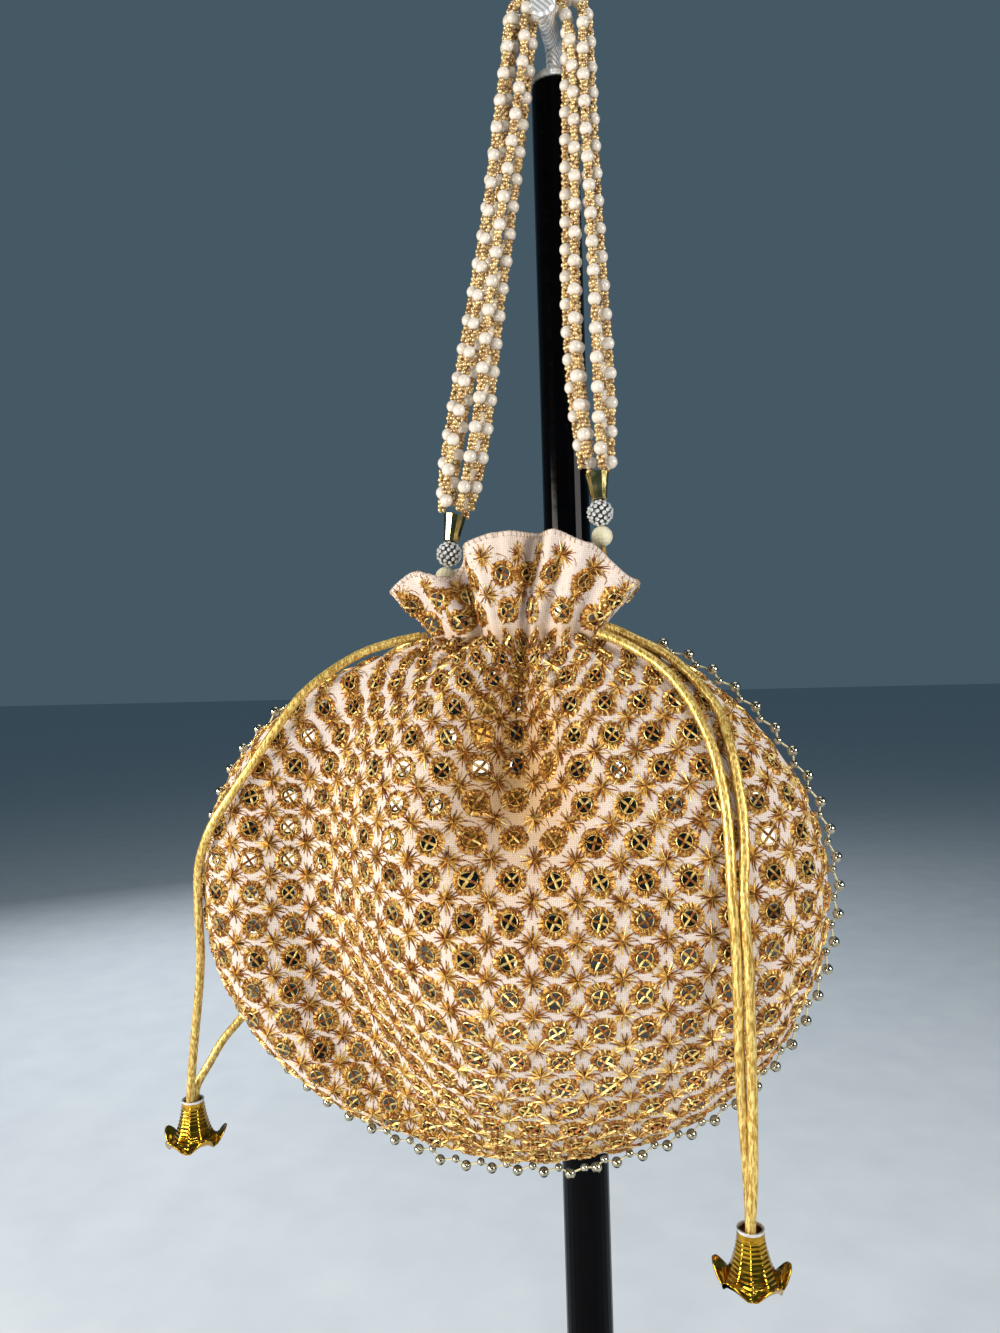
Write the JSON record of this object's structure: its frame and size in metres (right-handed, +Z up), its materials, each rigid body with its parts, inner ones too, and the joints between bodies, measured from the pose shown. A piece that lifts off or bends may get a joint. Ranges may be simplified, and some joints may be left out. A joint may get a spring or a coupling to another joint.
{
  "type": "drawstring evening bag on a hanging stand",
  "caption": "Round drawstring evening bag of pale cloth with gold ring embroidery, a ruffled neck, gold cords with bells and a pearl handle, hung on a black pole stand.",
  "frame": {"origin": "centre of the stand's foot on the surface it stands on", "axes": "+Z up along the pole, the bag's front faces -Y, +X to the right seen from the front"},
  "size_m": [0.2673, 0.1845, 0.6395],
  "materials": {
    "embroidered_cloth": "pale cloth with gold thread rings and sequins",
    "seam_beads": "polished pale gold",
    "gold_cord": "satin",
    "gold_bell": "polished",
    "pearl_strand": "pearl",
    "dark_gold_cap": "polished",
    "crystal_ball": "crystal set",
    "cream_pearl": "pearl",
    "sewing_thread": "matte",
    "black_stand": "gloss",
    "bright_metal": "polished"
  },
  "bodies": {
    "root": {"front_panel": "embroidered_cloth", "back_panel": "embroidered_cloth", "bead_trim": "seam_beads", "cord_right_a": "gold_cord", "cord_right_b": "gold_cord", "cord_left_a": "gold_cord", "cord_left_b": "gold_cord", "bell_right": "gold_bell", "bell_left": "gold_bell", "handle_cap_left": "dark_gold_cap", "handle_cap_right": "dark_gold_cap", "pave_ball_left": "crystal_ball", "pave_ball_right": "crystal_ball", "end_pearl_left": "cream_pearl", "end_pearl_right": "cream_pearl", "handle_thread_left": "sewing_thread", "handle_thread_right": "sewing_thread", "stand_base": "black_stand", "stand_pole": "black_stand", "stand_collar": "bright_metal", "stand_peg": "bright_metal", "handle_strand_1": "pearl_strand", "handle_strand_2": "pearl_strand", "handle_strand_3": "pearl_strand", "handle_strand_4": "pearl_strand", "handle_strand_5": "pearl_strand", "handle_strand_6": "pearl_strand"}
  },
  "joints": []
}
